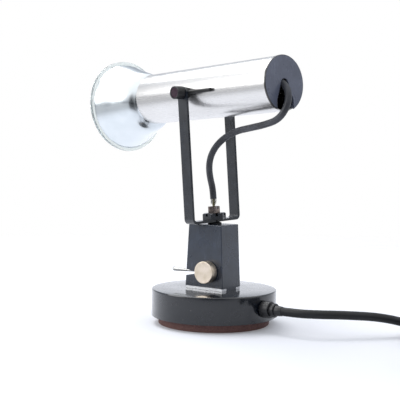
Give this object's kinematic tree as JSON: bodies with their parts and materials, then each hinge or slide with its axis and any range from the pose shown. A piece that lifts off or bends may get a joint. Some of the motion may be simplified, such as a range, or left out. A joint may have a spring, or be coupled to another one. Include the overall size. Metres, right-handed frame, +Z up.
{
  "type": "tabletop searchlight lamp",
  "caption": "Tabletop lamp with a plain tube head and a screw-in reflector lamp, held in a tall yoke on a tapered column with a dimmer knob and a lever switch, over a heavy round drum foot.",
  "frame": {"origin": "centre of the round foot, on the table", "axes": "+Z up; the lamp shines towards -Y, turned a little towards -X; the mains lead leaves towards +Y; the dimmer knob is on the +X side"},
  "size_m": [0.2359, 0.5557, 0.3296],
  "materials": {
    "black_lacquer": "gloss black lacquer on spun steel",
    "foot_board": "brown-red pressed fibre, matte",
    "satin_black": "satin black stove enamel",
    "bright_plate": "satin aluminium",
    "tube_aluminium": "satin drawn aluminium",
    "cap_enamel": "satin slate enamel",
    "nickel": "turned, nickel plated, slightly dulled",
    "zinc_steel": "zinc plated",
    "cast_iron": "as cast",
    "brass": "nickelled brass, worn",
    "porcelain": "glazed porcelain",
    "black_moulding": "phenolic moulding",
    "knob_moulding": "dark grey moulding",
    "knob_disc_plum": "dark plum inset",
    "mirror_glass": "pressed glass, silvered inside",
    "lens_glass": "pressed glass",
    "flex_rubber": "woven-look rubber sheath",
    "core_rubber": "rubbered cores",
    "lead_rubber": "round rubber lead",
    "rubber": "black rubber"
  },
  "bodies": {
    "base": {"foot_disc": "foot_board", "base_plate": "satin_black", "drum_shell": "black_lacquer", "ballast": "cast_iron", "foot_screws": "zinc_steel", "housing": "satin_black", "column_plate": "bright_plate", "column_screws": "zinc_steel", "switch_body": "black_moulding", "switch_pin": "zinc_steel", "dimmer_body": "black_moulding", "dimmer_nut": "brass", "terminal_block": "porcelain", "seat_washer": "rubber", "cable_gland": "black_moulding", "gland_nut": "black_moulding", "mains_cable": "lead_rubber", "cable_coil": "lead_rubber", "coil_tie": "rubber", "tail_cable": "lead_rubber", "mains_plug": "black_moulding", "plug_pins": "brass"},
    "yoke": {"stem_tube": "zinc_steel", "stem_washer": "zinc_steel", "stem_nut": "zinc_steel", "yoke_strip": "satin_black", "castle_nut": "satin_black", "cord_grip": "brass", "grub_screw": "zinc_steel", "bar_peg": "satin_black", "flex_cores": "core_rubber"},
    "head": {"lamp_tube": "tube_aluminium", "rear_cap": "cap_enamel", "pivot_stud": "zinc_steel", "stud_nuts": "zinc_steel", "far_spacer": "satin_black", "far_screw": "satin_black", "holder_bracket": "zinc_steel", "lampholder": "porcelain", "holder_nipple": "brass", "flex": "flex_rubber"},
    "tilt_knob": {"tilt_knob": "knob_moulding", "knob_disc": "knob_disc_plum", "pivot_washer": "satin_black"},
    "lock_lever": {"lock_lever": "satin_black"},
    "bulb": {"bulb_cap": "brass", "bulb_glass": "mirror_glass", "bulb_lens": "lens_glass"},
    "dimmer_knob": {"dimmer_knob": "nickel", "dimmer_shaft": "brass"},
    "switch_lever": {"switch_lever": "nickel"}
  },
  "joints": [
    {"name": "yoke_swivel", "type": "hinge", "parent": "base", "child": "yoke", "pos_m": [-0.0002, -0.0006, 0.1224], "axis": [0.0344, -0.0587, 0.9977], "range_deg": [-150, 150]},
    {"name": "head_tilt", "type": "hinge", "parent": "yoke", "child": "head", "pos_m": [0.00485, -0.01303, 0.28307], "axis": [0.9856, -0.1632, -0.0436], "range_deg": [-70, 55], "deforming": ["flex"]},
    {"name": "tilt_knob_turn", "type": "hinge", "parent": "head", "child": "tilt_knob", "pos_m": [0.00485, -0.01303, 0.28307], "axis": [0.9856, -0.1632, -0.0436], "range_deg": [-360, 0]},
    {"name": "lock_lever_swing", "type": "hinge", "parent": "head", "child": "lock_lever", "pos_m": [0.00485, -0.01303, 0.28307], "axis": [0.9856, -0.1632, -0.0436], "range_deg": [-40, 40]},
    {"name": "bulb_turn", "type": "hinge", "parent": "head", "child": "bulb", "pos_m": [-0.00176, -0.05242, 0.28098], "axis": [-0.1667, -0.9812, -0.0975], "range_deg": [-360, 0]},
    {"name": "dimmer_turn", "type": "hinge", "parent": "base", "child": "dimmer_knob", "pos_m": [0.0197, 0.0057, 0.0654], "axis": [1, 0, 0], "range_deg": [-135, 135]},
    {"name": "switch_swing", "type": "hinge", "parent": "base", "child": "switch_lever", "pos_m": [0.004, -0.01125, 0.0623], "axis": [0, 0, 1], "range_deg": [-12, 12]}
  ]
}
